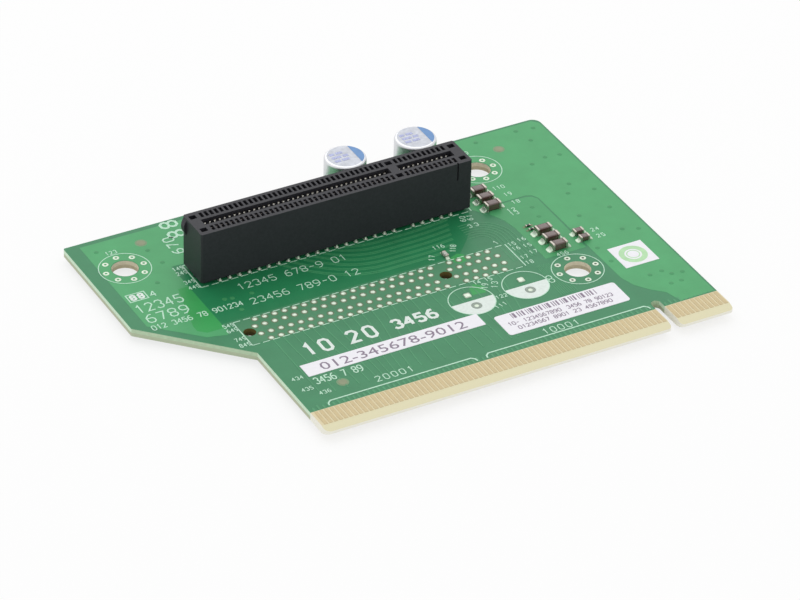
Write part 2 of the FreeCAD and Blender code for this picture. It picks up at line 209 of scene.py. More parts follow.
in_slots = (centre[:, 0] > -70.95) & (centre[:, 0] < -12) & (centre[:, 1] > 15) & (centre[:, 1] < 68)
near_hole = np.zeros(len(centre), bool)
for hole_x, hole_y in hole_places:
    near_hole |= np.hypot(centre[:, 0] - hole_x, centre[:, 1] - hole_y) < hole_radius + 0.2
# Walls facing -X get the lighter copy of the edge colours, as painted light.
cases = [sloped, upright & near_hole, upright & in_slots, upright & (normal[:, 0] < -0.9), upright]
# Hole walls in the slots' area get the dark copy of the drilled laminate, as painted shade.
face_finish = np.select(cases, [bevelled, drilled, shaded_peg_wall, lit_left_wall, routed], plain)
board.data.polygons.foreach_set("material_index", face_finish.astype(np.int32))


# --- Copper under the resist ---------------------------------------------------------------
# Etched copper: large poured areas show pale through the resist, places with no copper in
# any layer show dark, and traces run as fine raised lines from the slots to the fingers.
def plate(outline, low, high):
    """Flat plate: the closed outline, counter-clockwise, at two heights, joined by walls."""
    outline = np.array(outline, float)
    count = len(outline)
    points = np.zeros((2 * count, 3))
    points[:count, :2] = outline
    points[count:, :2] = outline
    points[:count, 2] = low
    points[count:, 2] = high
    here = np.arange(count)
    following = (here + 1) % count
    walls = np.stack([here, following, following + count, here + count], -1).tolist()
    return points, walls + [(here + count).tolist(), here[::-1].tolist()]


def bar_along(path, width, low, high, closed=False):
    """Rectangular bar carried along a path: each point is shifted half the width to both
    sides, along the line that halves the bend there, at two heights."""
    path = np.array(path, float)
    ahead = np.roll(path, -1, 0) - path
    behind = path - np.roll(path, 1, 0)
    if not closed:
        ahead[-1] = behind[-1]
        behind[0] = ahead[0]
    ahead /= np.linalg.norm(ahead, axis=1, keepdims=True)
    behind /= np.linalg.norm(behind, axis=1, keepdims=True)
    normal_ahead = np.stack([-ahead[:, 1], ahead[:, 0]], -1)
    normal_behind = np.stack([-behind[:, 1], behind[:, 0]], -1)
    across = normal_ahead + normal_behind
    across /= np.linalg.norm(across, axis=1, keepdims=True)
    reach = width / 2 / np.maximum((across * normal_ahead).sum(1), 0.4)
    left = path + across * reach[:, None]
    right = path - across * reach[:, None]
    count = len(path)
    points = np.zeros((count, 4, 3))
    points[:, (0, 3), :2] = left[:, None]
    points[:, (1, 2), :2] = right[:, None]
    points[:, :2, 2] = low
    points[:, 2:, 2] = high
    spans = np.arange(count if closed else count - 1)
    after = (spans + 1) % count
    faces = []
    for near, far in ((3, 2), (2, 1), (1, 0), (0, 3)):
        faces += np.stack([spans * 4 + near, spans * 4 + far, after * 4 + far, after * 4 + near], -1).tolist()
    if not closed:
        last = 4 * (count - 1)
        faces += [[0, 1, 2, 3], [last + 3, last + 2, last + 1, last]]
    return points.reshape(-1, 3), faces


def joined(parts):
    """One mesh's points and faces from several."""
    points = []
    faces = []
    offset = 0
    for part_points, part_faces in parts:
        points.append(np.asarray(part_points))
        faces += [[index + offset for index in part_face] for part_face in part_faces]
        offset += len(part_points)
    return np.concatenate(points), faces


def placed(name, data):
    """New object in the scene."""
    made = bpy.data.objects.new(name, data)
    bpy.context.scene.collection.objects.link(made)
    return made


def piece(name, shape, material, smooth=False):
    """New object from points in millimetres and faces: seams are joined, faces turned outward,
    and it rides on the card."""
    points, faces = shape
    mesh = bpy.data.meshes.new(name)
    mesh.from_pydata((np.asarray(points) * 0.001).tolist(), [], faces)
    work = bmesh.new()
    work.from_mesh(mesh)
    bmesh.ops.remove_doubles(work, verts=work.verts, dist=1e-7)
    bmesh.ops.recalc_face_normals(work, faces=work.faces)
    work.to_mesh(mesh)
    work.free()
    mesh.polygons.foreach_set("use_smooth", [smooth] * len(mesh.polygons))
    mesh.materials.append(material)
    mesh.update()
    made = placed(name, mesh)
    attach(made, "root")
    return made


def curve_shape(curve):
    """Points and faces of a curve or text, as Blender makes them; the curve is then removed."""
    holder = placed(curve.name, curve)
    bpy.context.view_layer.update()
    mesh = bpy.data.meshes.new_from_object(holder.evaluated_get(bpy.context.evaluated_depsgraph_get()))
    flat = np.empty(len(mesh.vertices) * 3)
    mesh.vertices.foreach_get("co", flat)
    faces = [list(polygon.vertices) for polygon in mesh.polygons]
    bpy.data.objects.remove(holder)
    bpy.data.meshes.remove(mesh)
    return flat.reshape(-1, 3), faces


def filled(outline, openings, low, high):
    """Flat plate with openings: the closed loops are filled between as one flat curve, which
    is raised to the two heights."""
    curve = bpy.data.curves.new("plate", "CURVE")
    curve.dimensions = "2D"
    curve.fill_mode = "BOTH"
    curve.extrude = (high - low) / 2
    for loop in [outline] + list(openings):
        loop = np.array(loop, float)
        spline = curve.splines.new("POLY")
        spline.points.add(len(loop) - 1)
        spline.use_cyclic_u = True
        padded = np.concatenate([loop, np.zeros((len(loop), 1)), np.ones((len(loop), 1))], 1)
        spline.points.foreach_set("co", padded.ravel())
    points, faces = curve_shape(curve)
    points[:, 2] += (low + high) / 2
    return points, faces


def circle_line(x, y, radius, steps=64):
    """Closed circle of points."""
    angle = 2 * np.pi * np.arange(steps) / steps
    return np.stack([x + radius * np.cos(angle), y + radius * np.sin(angle)], -1)


trace_lift = 0.035
pour_lift = 0.02
field_lift = 0.01
open_holes = [circle_line(x, y, hole_radius + 0.12, 48) for x, y in hole_places]
pour_corners = [
    (-85.4, 70.3), (-85.4, 42.2), (-77.3, 34.4), (-73.6, 33.4), (-73.1, 34.0), (-73.1, 35.6), (-76.6, 35.6),
    (-78.0, 36.9), (-78.0, 38.5), (-75.2, 50.2), (-73.1, 50.2), (-73.1, 57.2), (-15.2, 57.2), (-15.2, 49.6),
    (-13.2, 46.8), (-11.6, 48.75), (-3.4, 48.75), (-2.3, 48.3), (-1.6, 47.0), (-1.45, 17.2), (-0.5, 14.2),
    (1.4, 11.6), (3.6, 9.5), (4.5, 6.15), (11.75, 6.15), (11.75, 69.6), (10.6, 70.9), (-20.0, 70.9), (-40.0, 70.3),
]
chip_pour_corners = [
    (-10.6, 28.8), (-2.0, 28.8), (-1.85, 46.9), (-2.5, 47.9), (-3.5, 48.35), (-11.3, 48.35), (-12.6, 46.2),
    (-11.2, 43.4), (-10.6, 40.0),
]
copper = resist("resist_over_copper", linear(78, 164, 106))
piece("copper_pour", filled(pour_corners, open_holes[:2], face, face + pour_lift), copper)
chip_copper = resist("resist_over_chip_copper", linear(74, 158, 102))
piece("chip_copper_pour", filled(chip_pour_corners, [], face, face + pour_lift), chip_copper)

clear_corners = [
    (-73.1, 36.9), (-24.2, 36.9), (-20.3, 41.0), (-17.5, 44.5), (-15.2, 49.6), (-15.2, 57.2), (-73.1, 57.2),
]
clear = resist("resist_over_clear_laminate", linear(36, 127, 80))
piece("clear_laminate_field", filled(clear_corners, [], face, face + field_lift), clear)
window_corners = [
    (-76.6, 35.6), (-73.1, 35.6), (-73.1, 50.2), (-75.2, 50.2), (-78.0, 38.5), (-78.0, 36.9),
]
small_window = [(-28.4, 24.6), (-25.7, 24.3), (-25.2, 26.4), (-26.6, 27.7), (-28.0, 26.6)]
chip_window = [(-26.2, 36.9), (-24.4, 37.6), (-23.4, 36.9), (-23.8, 34.9), (-25.4, 34.5), (-26.2, 35.4)]
window = resist("resist_over_light_window", linear(56, 158, 84))
windows = [filled(corners, [], face, face + 0.014) for corners in (window_corners, small_window, chip_window)]
piece("light_windows", joined(windows), window)
slot_axis = 52.7
slot_spacing = 20.32
empty_axis = slot_axis - slot_spacing
peg_places = [(-29.6, empty_axis), (-69.75, empty_axis)]
slot_field_corners = [(-71.0, 28.8), (-15.2, 28.8), (-15.2, 36.4), (-71.0, 36.4)]
peg_openings = [circle_line(x, y, 1.22, 32) for x, y in peg_places]
slot_field = resist("resist_over_slot_field", linear(76, 137, 99))
piece("slot_field", filled(slot_field_corners, peg_openings, face, face + field_lift), slot_field)


def trace(path, width):
    """Trace on the component face, one lift high."""
    return bar_along(path, width, face, face + trace_lift)


def back_trace(path):
    """Trace on the solder face, 0.22 mm wide."""
    return bar_along(path, 0.22, -0.03, 0.0)


def eased(start, end, steps=14):
    """Path from start to end that leaves and arrives along Y: x follows 3t^2 - 2t^3."""
    t = np.linspace(0, 1, steps)
    x = start[0] + (end[0] - start[0]) * (3 * t**2 - 2 * t**3)
    y = start[1] + (end[1] - start[1]) * t
    return np.stack([x, y], -1)


def fan_trace(pair, shift):
    """From a front tail of the fitted slot down in an arc, then level, then up a little at
    the far end: y leaves the slot's edge with 1 - (1 - t)^2.2 and ends with a quadratic rise."""
    start_x = -42.5 - 2.1 * pair - shift
    level = 47.7 - 1.45 * pair - shift
    t = np.linspace(0, 1, 18)
    bend_length = 7.5 + 1.7 * pair
    bend = np.stack([start_x + bend_length * t, 49.3 + (level - 49.3) * (1 - (1 - t) ** 2.2)], -1)
    reach = np.linspace(start_x + bend_length, -20.5 - 0.55 * pair, 14)[1:]
    rise = level + 0.9 * np.clip((reach + 30.0) / 10.0, 0, 1) ** 2
    return np.concatenate([bend, np.stack([reach, rise], -1)])


fan = [trace(fan_trace(pair, shift), 0.3) for pair in range(7) for shift in (0.0, 0.4)]
fan_finish = resist("resist_over_fan_traces", linear(66, 148, 98))
piece("fan_traces", joined(fan), fan_finish)


def quarter(centre_x, centre_y, radius, tail):
    """Level run, then a quarter turn down round a centre, then a straight run of length tail."""
    angle = np.linspace(np.pi / 2, 0, 12)
    arc = np.stack([centre_x + radius * np.cos(angle), centre_y + radius * np.sin(angle)], -1)
    start = [(centre_x - 1.5, centre_y + radius)]
    return np.concatenate([start, arc, [(centre_x + radius, centre_y - tail)]])


drops = [trace(quarter(-18.4, 38.6, 2.2 + 0.75 * index, 8.0), 0.2) for index in range(7)]
for index in range(24):
    top_x = -67.1 + 2.0 * index
    foot_x = top_x + 1.6 * math.sin(0.45 * index) - 0.05 * index
    drops.append(trace(eased((foot_x, 9.6), (top_x, 28.6)), 0.2))
for index in range(9):
    drops.append(trace(eased((-13.9 + 0.42 * index, 17.4), (-13.4 + 0.3 * index, 27.4)), 0.17))
finger_places = list(np.arange(-70.5, -1.0, 1.0)) + list(np.arange(1.5, 12.0, 1.0))
stub_foot = 5.9
pour_corner_x = 4.5
for number, finger_x in enumerate(finger_places):
    stub_top = 6.35 if finger_x > pour_corner_x else 7.0 + 0.4 * (number % 2)
    drops.append(trace([(finger_x, stub_foot), (finger_x, stub_top)], 0.4))
drop_finish = resist("resist_over_drop_traces", linear(78, 150, 106))
piece("drop_traces", joined(drops), drop_finish)

back_traces = []
for number, finger_x in enumerate(finger_places[:68:2]):
    top_x = -68.1 + 1.5 * number
    if top_x < -19:
        back_traces.append(back_trace(eased((finger_x, 6.2), (top_x, 27.6), 20)))
for number in range(17):
    top_x = -66.1 + 2.0 * number
    back_traces.append(back_trace(eased((top_x + 0.5, 37.4), (top_x, 47.9))))
back_finish = resist("resist_over_back_traces", linear(78, 150, 106))
piece("solder_side_traces", joined(back_traces), back_finish)
back_pour = resist("resist_over_back_pour", linear(78, 164, 106))
back_openings = [circle_line(x, y, hole_radius + 0.12, 48) for x, y in hole_places[1:2]]
back_corners = [(-13.5, 28.0), (-1.4, 28.0), (-1.4, 9.0), (11.1, 9.0), (11.1, 70.3), (-13.5, 70.3)]
piece("solder_side_pour", filled(back_corners, back_openings, -pour_lift, 0.0), back_pour)


# --- Gold edge fingers ---------------------------------------------------------------------
# Copper strips plated with nickel and hard gold, etched on both faces of the laminate; they
# end where the bevel begins.
gold = finish("gold_plating", linear(187, 170, 130), 0.38, metallic=0.45, mottle=0.04, grain=900.0, relief=0.004)
dress("gold_fingers_component_side", gold)
dress("gold_fingers_solder_side", gold)


# --- Slot housing --------------------------------------------------------------------------
# One black glass-filled nylon moulding, pressed into the board on two pegs; its faces carry
# the fine grain of the mould.
black_nylon = finish(
    "black_nylon", linear(48, 48, 53), 0.42, mottle=0.12, grain=2200.0, relief=0.02, specular=0.24
)
dress("slot_housing", black_nylon)


# --- Slot contacts -------------------------------------------------------------------------
# Phosphor-bronze springs, stamped and bent, gold at the tip and tinned at the tail, pushed
# into the housing from below; only their hooks show in the slot.
contact_alloy = finish(
    "contact_alloy", linear(226, 222, 212), 0.25, metallic=1.0, mottle=0.05, grain=1200.0, relief=0.004
)
dress("slot_contacts_front_row", contact_alloy)
dress("slot_contacts_back_row", contact_alloy)


def bent_strip(path, thickness, width, x, axis, side):
    """Metal strip bent along a path of (distance from the slot's axis, height): its lower and
    upper lines are the path shifted half the thickness, and it is as wide as given along X."""
    path = np.array(path, float)
    along = np.gradient(path, axis=0)
    along /= np.linalg.norm(along, axis=1, keepdims=True)
    lift = np.stack([-along[:, 1], along[:, 0]], -1) * thickness / 2
    rings = np.stack([path - lift, path + lift], 1)
    points = np.zeros((len(path), 2, 2, 3))
    points[:, :, :, 1] = axis + side * rings[:, :, None, 0]
    points[:, :, :, 2] = rings[:, :, None, 1]
    points[:, :, 0, 0] = x - width / 2
    points[:, :, 1, 0] = x + width / 2
    index = np.arange(len(path) * 4).reshape(len(path), 4)
    loop = index[:, [0, 1, 3, 2]]
    after = np.roll(loop, -1, 1)
    quads = np.stack([loop[:-1], loop[1:], after[1:], after[:-1]], -1).reshape(-1, 4).tolist()
    return points.reshape(-1, 3), quads + [loop[0].tolist(), loop[-1].tolist()]


contact_x = np.concatenate([-18.1 - np.arange(11), -31.1 - np.arange(38)])
hook_path = [(1.05, face + 10.46), (1.3, face + 10.53), (1.6, face + 10.6), (1.74, face + 10.72), (1.82, face + 10.92)]
# The hooks take a dark copy of the contact alloy: painted shade for the hooks down in the slot's windows.
contact_alloy_painted_shade = finish("contact_alloy_painted_shade", linear(104, 98, 96), 0.5, metallic=0.9)
strip_thickness = 0.12
hook_width = 0.4
hooks = [bent_strip(hook_path, strip_thickness, hook_width, x, slot_axis, side) for x in contact_x for side in (-1, 1)]
piece("slot_contact_hooks", joined(hooks), contact_alloy_painted_shade)


# --- Solder joints and pads ----------------------------------------------------------------
# Tinned rings and wave-soldered joints: a low collar on the component face, a cone round the
# tail on the solder face, and a plain dome where a hole has no tail in it.
def turned(profile, places, segments, ring=False, base=0.0):
    """Turned shape, repeated: a profile point (r, z), listed from the foot up, goes to
    (x + r cos a, y + r sin a, z + base). Its ends lie on the axis, or meet where ring is true."""
    profile = np.array(profile, float) + [0.0, base]
    body = profile if ring else profile[1:-1]
    rows = len(body)
    angle = 2 * np.pi * np.arange(segments) / segments
    circle = np.stack([np.cos(angle), np.sin(angle), np.zeros(segments)], -1)
    points = (body[:, None, :1] * circle[None]) + body[:, None, 1:] * np.array([0.0, 0.0, 1.0])
    points = points.reshape(-1, 3)
    row = np.arange(rows if ring else rows - 1)[:, None]
    column = np.arange(segments)[None]
    beside = (column + 1) % segments
    above = (row + 1) % rows
    quads = np.stack(
        [row * segments + column, row * segments + beside, above * segments + beside, above * segments + column], -1
    ).reshape(-1, 4)
    faces = quads.tolist()
    if not ring:
        foot = len(points)
        points = np.concatenate([points, [[0, 0, profile[0, 1]], [0, 0, profile[-1, 1]]]])
        first = np.arange(segments)
        second = (first + 1) % segments
        last_row = (rows - 1) * segments
        faces += np.stack([np.full(segments, foot), second, first], -1).tolist()
        faces += np.stack([np.full(segments, foot + 1), last_row + first, last_row + second], -1).tolist()
    places = np.array(places, float).reshape(-1, 2)
    placed = points[None] + np.concatenate([places, np.zeros((len(places), 1))], 1)[:, None]
    count = len(points)
    all_faces = [[i + count * k for i in f] for k in range(len(places)) for f in faces]
    return placed.reshape(-1, 3), all_faces


def grid_faces(index):
    """Four-sided faces between the points of a grid of point numbers."""
    return np.stack([index[:-1, :-1], index[1:, :-1], index[1:, 1:], index[:-1, 1:]], -1).reshape(-1, 4)


def rounded_block(low, high, radius, steps=5):
    """Box with round edges: points of a cube's faces are pulled to an inner box, then set
    one radius away from it along the same direction."""
    low = np.array(low, float)
    high = np.array(high, float)
    middle = (low + high) / 2
    half = (high - low) / 2
    line = np.linspace(-1, 1, steps)
    line = np.sign(line) * np.abs(line) ** 0.6
    u, v = np.meshgrid(line, line, indexing="ij")
    points = []
    faces = []
    quads = grid_faces(np.arange(steps * steps).reshape(steps, steps))
    for axis in range(3):
        for side in (-1, 1):
            cube = np.empty((steps * steps, 3))
            cube[:, axis] = side
            cube[:, (axis + 1) % 3] = u.ravel()
            cube[:, (axis + 2) % 3] = v.ravel()
            cube = cube * half
            core = np.clip(cube, radius - half, half - radius)
            away = cube - core
            away /= np.maximum(np.linalg.norm(away, axis=1, keepdims=True), 1e-9)
            ordered = quads if side > 0 else quads[:, ::-1]
            faces += (ordered + len(points) * steps * steps).tolist()
            points.append(middle + core + away * radius)
    return np.concatenate(points), faces


def solder(name, profile, places, segments, ring=False, base=0.0):
    """Turned joints of tin, rounded by their own melt."""
    piece(name, turned(profile, places, segments, ring, base), tin, smooth=True)


tail_offset = np.where(np.arange(49) % 2 == 0, 1.25, 3.25)


def slot_pattern(axis):
    """Places of a slot's 98 tails: the offset from the axis alternates along the row."""
    front = np.stack([contact_x, axis - tail_offset], -1)
    back = np.stack([contact_x, axis + tail_offset], -1)
    return np.concatenate([front, back])


tin = finish("tin_solder", linear(212, 224, 206), 0.34, metallic=0.45, grain=1600.0, relief=0.02)
tips = []
for contact in contact_x:
    for side in (-1, 1):
        near, far = sorted((slot_axis + side * 0.76, slot_axis + side * 1.0))
        tips.append(rounded_block((contact - 0.19, near, face + 10.04), (contact + 0.19, far, face + 10.4), 0.09, 4))
# The contact tips are near-white, barely metallic blocks on the contacts' bows: a painted highlight where the bows
# catch the light, in place of the gold plating's colour.
tip_painted_highlight = finish("contact_tip_painted_highlight", linear(250, 248, 240), 0.5, metallic=0.1, mottle=0.05, relief=0.004)
piece("slot_contact_tips", joined(tips), tip_painted_highlight, smooth=True)
pad_radius = 0.5
clearance = finish("pad_clearance", linear(102, 122, 90), 0.6, mottle=0.05, grain=700.0, relief=0.004)
gap = [(0, 0.006), (0.72, 0.006), (0.7, 0.018), (0, 0.018)]
piece("empty_slot_pad_clearances", turned(gap, slot_pattern(empty_axis), 14, base=face), clearance)
dome = [(0, 0), (pad_radius, 0), (0.47, 0.06), (0.38, 0.13), (0.2, 0.19), (0, 0.2)]
solder("empty_slot_solder_domes", dome, slot_pattern(empty_axis), 14, base=face)
under_dome = [(0, -0.22), (0.22, -0.2), (0.42, -0.13), (0.54, -0.05), (pad_radius, 0), (0, 0)]
solder("empty_slot_solder_side_domes", under_dome, slot_pattern(empty_axis), 14)
collar = [
    (0.15, 0), (0.46, 0), (0.42, 0.04), (0.28, 0.08), (0.2, 0.2), (0.15, 0.34),
]
solder("slot_solder_collars", collar, slot_pattern(slot_axis), 12, ring=True, base=face)
legs = [
    rounded_block((x - 0.17, y - 0.15, face - 0.1), (x + 0.17, y + 0.15, face + 0.82), 0.07, 4)
    for x, y in slot_pattern(slot_axis) if abs(y - slot_axis) > 3
]
piece("slot_tinned_legs", joined(legs), tin, smooth=True)
cone = [(0, -0.72), (0.2, -0.7), (0.25, -0.5), (0.33, -0.28), (0.47, -0.1), (0.58, 0), (0, 0)]
solder("slot_solder_cones", cone, slot_pattern(slot_axis), 12)

ground_places = np.concatenate([circle_line(x, y, r, 8) for (x, y), r in zip(hole_places, (3.8, 3.4, 3.8))])
ground_ring = [(0.22, 0), (0.62, 0), (0.6, 0.04), (0.45, 0.08), (0.28, 0.07)]
solder("ground_pad_rings", ground_ring, ground_places, 16, ring=True, base=face)
under_ring = [(0.28, -0.07), (0.45, -0.08), (0.6, -0.04), (0.62, 0), (0.22, 0)]
solder("ground_pad_rings_solder_side", under_ring, ground_places, 16, ring=True)
plugged = finish("plugged_hole", linear(70, 84, 62), 0.6, grain=2000.0)
plug = [(0, 0), (0.24, 0), (0.23, 0.015), (0, 0.015)]
piece("ground_pad_plugs", turned(plug, ground_places, 10, base=face), plugged)


# --- Capacitors ----------------------------------------------------------------------------
# Drawn aluminium cans, crimped over a rubber seal; a printed segment marks the negative lead
# beside a faint printed value. Two leads go down through the board.
# The walls and rim take a brighter copy of the aluminium than the top: painted light that strengthens the highlight on
# the rounded rim.
can_metal = finish("can_aluminium", linear(222, 223, 226), 0.38, metallic=0.95, mottle=0.04, grain=500.0, relief=0.004)
can_top = finish("can_top", linear(174, 177, 184), 0.36, metallic=0.95, mottle=0.12, grain=1100.0, relief=0.006)
can_print = finish("can_print", linear(96, 142, 196), 0.4, mottle=0.05, grain=900.0, relief=0.004)
can_faint_print = finish(
    "can_faint_print", linear(166, 172, 206), 0.4, metallic=0.3, mottle=0.25, grain=3500.0, relief=0.002
)
rubber = finish("seal_rubber", linear(34, 32, 32), 0.7, mottle=0.08, relief=0.02)
lead_wire = finish("lead_wire", linear(205, 205, 202), 0.28, metallic=0.9, mottle=0.05, relief=0.004)
for number in (1, 2):
    low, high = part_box("capacitor_%d_can" % number)
    can_x = (low.x + high.x) * 500
    can_y = (low.y + high.y) * 500
    foot = low.z * 1000
    rim = high.z * 1000
    radius = (high.x - low.x) * 500
    arc = np.linspace(0, np.pi / 2, 5)
    profile = [(0, foot), (radius - 0.3, foot), (radius - 0.02, foot + 0.25), (radius, foot + 0.9)]
    profile += [(radius - inward, foot + up) for inward, up in ((0.16, 1.2), (0.34, 1.5), (0.16, 1.8), (0, 2.1))]
    profile += [(radius, rim - 2.6), (radius, rim - 0.57)]
    profile += list(zip(radius - 0.5 + 0.5 * np.cos(arc), rim - 0.56 + 0.5 * np.sin(arc)))
    profile += [(radius - 0.6, rim - 0.06), (0, rim - 0.06)]
    can = piece("can_%d" % number, turned(profile, [(can_x, can_y)], 72), can_metal, smooth=True)
    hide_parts("capacitor_%d_can" % number)
    # The top's faces take the darker copy of the aluminium; the walls and rim keep the brighter one.
    can.data.materials.append(can_top)
    on_top = polygon_vectors(can.data, "center")[:, 2] * 1000 > rim - 0.07
    can.data.polygons.foreach_set("material_index", on_top.astype(np.int32))
    reach = radius - 0.42
    chord = 2.0
    sweep = np.linspace(-math.acos(chord / reach), math.acos(chord / reach), 20)
    segment = np.stack([can_x + reach * np.cos(sweep), can_y + reach * np.sin(sweep)], -1)
    piece("can_%d_polarity_print" % number, plate(segment, rim - 0.07, rim - 0.035), can_print)
    prints = []
    for line_y, words in ((1.5, (1.0, 1.4)), (0.3, (1.9, 1.1)), (-0.9, (1.2, 1.5))):
        cursor = can_x - 2.6
        for word in words:
            line = [(cursor, can_y + line_y), (cursor + word, can_y + line_y)]
            prints.append(bar_along(line, 0.72, rim - 0.07, rim - 0.04))
            cursor += word + 0.35
    piece("can_%d_value_print" % number, joined(prints), can_faint_print)
    dress("capacitor_%d_seal" % number, rubber)
    dress("capacitor_%d_leads" % number, lead_wire)
    leads_low, leads_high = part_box("capacitor_%d_leads" % number)
    lead_radius = 0.26
    lead_places = [(leads_low.x * 1000 + lead_radius, can_y), (leads_high.x * 1000 - lead_radius, can_y)]
    joint = [(0, -0.86), (0.27, -0.84), (0.33, -0.6), (0.46, -0.32), (0.7, -0.1), (0.95, 0), (0, 0)]
    solder("capacitor_%d_solder_joints" % number, joint, lead_places, 20)


# --- Chip parts ----------------------------------------------------------------------------
# Fired ceramic blocks with silver-palladium end caps, tinned, and reflowed onto their pads;
# the solder climbs each cap in a hollow curve.
def mound(along, wall, run, middle, half_spread, height):
    """Solder from a cap's end out over its pad: its height falls with (1 - t)^2.2 to a low shelf,
    and both it and its half width close in at the far end with the square root of 1 - t^8."""
    t = np.linspace(0, 0.99, 12)
    angle = np.linspace(0, np.pi, 9)
    closing = np.sqrt(1 - t**8)
    half_width = half_spread * closing
    rise = (0.09 + height * (1 - t) ** 2.2) * closing
    points = np.zeros((len(t), len(angle), 3))
    points[:, :, along] = (wall + run * t)[:, None]
    points[:, :, 1 - along] = middle + half_width[:, None] * np.cos(angle)[None]
    points[:, :, 2] = face + rise[:, None] * np.sin(angle)[None] ** 0.4
    index = np.arange(len(t) * len(angle)).reshape(len(t), len(angle))
    quads = grid_faces(index).tolist()
    under = np.stack([index[:-1, 0], index[:-1, -1], index[1:, -1], index[1:, 0]], -1).tolist()
    return points.reshape(-1, 3), quads + under + [index[0].tolist(), index[-1, ::-1].tolist()]


chip_brown = finish("chip_ceramic", linear(88, 64, 58), 0.2, relief=0.006, specular=1.0)
chip_black = finish("resistor_glaze", linear(22, 22, 24), 0.3)
chip_grey = finish("grey_chip_ceramic", linear(196, 198, 190), 0.4)
plated_end = finish("plated_end", linear(188, 182, 172), 0.36, metallic=0.95, mottle=0.08)
reflowed = finish("reflowed_solder", linear(196, 214, 194), 0.45, metallic=0.75, grain=1600.0, relief=0.004)
# The next finish is a darker, greener copy of the reflowed solder, given to the two resistors' pads and fillets.
dimmed_solder = finish("dimmed_solder", linear(112, 132, 96), 0.5, metallic=0.4, grain=1600.0, relief=0.004)
chip_names = ["chip_capacitor_%d" % n for n in range(1, 10)] + ["chip_resistor_1", "chip_resistor_2"]
fillets = []
dimmed_fillets = []
for chip in chip_names:
    low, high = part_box(chip + "_body")
    cap_low, cap_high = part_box(chip + "_end_caps")
    is_resistor = "resistor" in chip
    body_finish = chip_black if is_resistor else chip_grey if chip == "chip_capacitor_9" else chip_brown
    width = min(high.x - low.x, high.y - low.y) * 1000
    block = rounded_block(np.array(low) * 1000, np.array(high) * 1000, 0.06 * width)
    body = piece(chip + "_block", block, body_finish, smooth=True)
    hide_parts(chip + "_body")
    along = 1 if (cap_high.y - cap_low.y) > (cap_high.x - cap_low.x) else 0
    across = 1 - along
    outer_low = np.array(cap_low) * 1000
    outer_high = np.array(cap_high) * 1000
    half_spread = (outer_high[across] - outer_low[across]) / 2
    middle = (outer_high[across] + outer_low[across]) / 2
    mounds, run_share, climb = (dimmed_fillets, 0.3, 0.3) if is_resistor else (fillets, 0.6, 0.4)
    ends = []
    for side in (-1, 1):
        end_low = outer_low.copy()
        end_high = outer_high.copy()
        if side < 0:
            end_high[along] = low[along] * 1000 + 0.02
        else:
            end_low[along] = high[along] * 1000 - 0.02
        ends.append(rounded_block(end_low, end_high, 0.09 * width))
        wall = (outer_low if side < 0 else outer_high)[along]
        run = side * run_share * width
        mounds.append(mound(along, wall, run, middle, half_spread, climb * (outer_high[2] - face)))
    caps = piece(chip + "_plated_ends", joined(ends), plated_end, smooth=True)
    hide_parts(chip + "_end_caps")
dress("chip_solder_pads", reflowed)
pads = nodes["chip_solder_pads"].data
# Pad faces beside the two resistors take the darker copy of the solder.
pads.materials.append(dimmed_solder)
small_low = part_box("chip_resistor_2_body")[0]
small_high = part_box("chip_resistor_1_body")[1]
middles = polygon_vectors(pads, "center")
beside_resistor = np.abs(middles[:, 0] - small_low.x) < 0.0016
beside_resistor &= (middles[:, 1] > small_low.y - 0.0003) & (middles[:, 1] < small_high.y + 0.0003)
pads.polygons.foreach_set("material_index", beside_resistor.astype(np.int32))
piece("chip_solder_fillets", joined(fillets), reflowed, smooth=True)
piece("resistor_solder_fillets", joined(dimmed_fillets), dimmed_solder, smooth=True)


# --- Sight marks and vias ------------------------------------------------------------------
# Bare copper discs that the placing machine looks for, and small plated holes between the
# copper layers, covered by the resist so that only a dimple shows.
sight_places = [(-74.65, 66.7), (0.12, 64.95), (-62.1, 11.44)]
sight_copper = finish("bare_copper", linear(134, 142, 112), 0.5, metallic=0.2, mottle=0.08, grain=900.0, relief=0.004)
sight_disc = [(0, 0.01), (0.82, 0.01), (0.8, 0.045), (0, 0.045)]
piece("sight_marks", turned(sight_disc, sight_places, 24, base=face), sight_copper)
sight_gap = [(0, 0.005), (1.15, 0.005), (1.15, 0.025), (0, 0.025)]
sight_laminate = finish("sight_clearance", linear(118, 150, 112), 0.6, mottle=0.05, grain=700.0, relief=0.004)
piece("sight_mark_clearances", turned(sight_gap, sight_places, 24, base=face), sight_laminate)

via_places = [
    (-83.3, 67.6), (-77.6, 53.8), (-73.9, 59.3), (-74.6, 64.0), (6.2, 69.0), (9.8, 68.6), (-2.7, 68.9), (6.0, 48.6),
    (7.1, 31.0), (3.8, 15.7), (6.4, 15.9), (7.6, 14.3), (5.9, 11.7), (8.1, 11.7), (9.9, 29.8), (9.6, 58.2),
    (6.6, 58.6), (4.2, 45.9), (-4.2, 44.8), (9.4, 45.0), (2.2, 38.4), (9.7, 14.0), (3.2, 57.6), (7.2, 65.0),
    (8.8, 38.4), (-0.2, 22.8), (-0.3, 27.6), (-4.6, 41.6), (-69.1, 43.6), (-67.7, 43.3), (-67.8, 39.4), (-63.8, 43.2),
]
via_dimple = [(0, 0.01), (0.5, 0.01), (0.44, 0.034), (0.2, 0.026), (0, 0.024)]
via_finish = resist("resist_over_vias", linear(64, 146, 92))
piece("vias", turned(via_dimple, via_places, 12, base=face), via_finish, smooth=True)


# --- Screen print --------------------------------------------------------------------------
# White ink, printed through a mesh: outlines of the parts, lines above the fingers and plain
# numbers. Its edges are a little ragged and it is thin enough to let the green through.
ink_low = face + 0.012
ink_high = face + 0.05
ink = finish("screen_ink", linear(192, 230, 206), 0.6, mottle=0.14, grain=3000.0, specular=0.3)
ink_solid = finish("screen_ink_solid", linear(226, 236, 230), 0.6, mottle=0.05, grain=2000.0, specular=0.3)

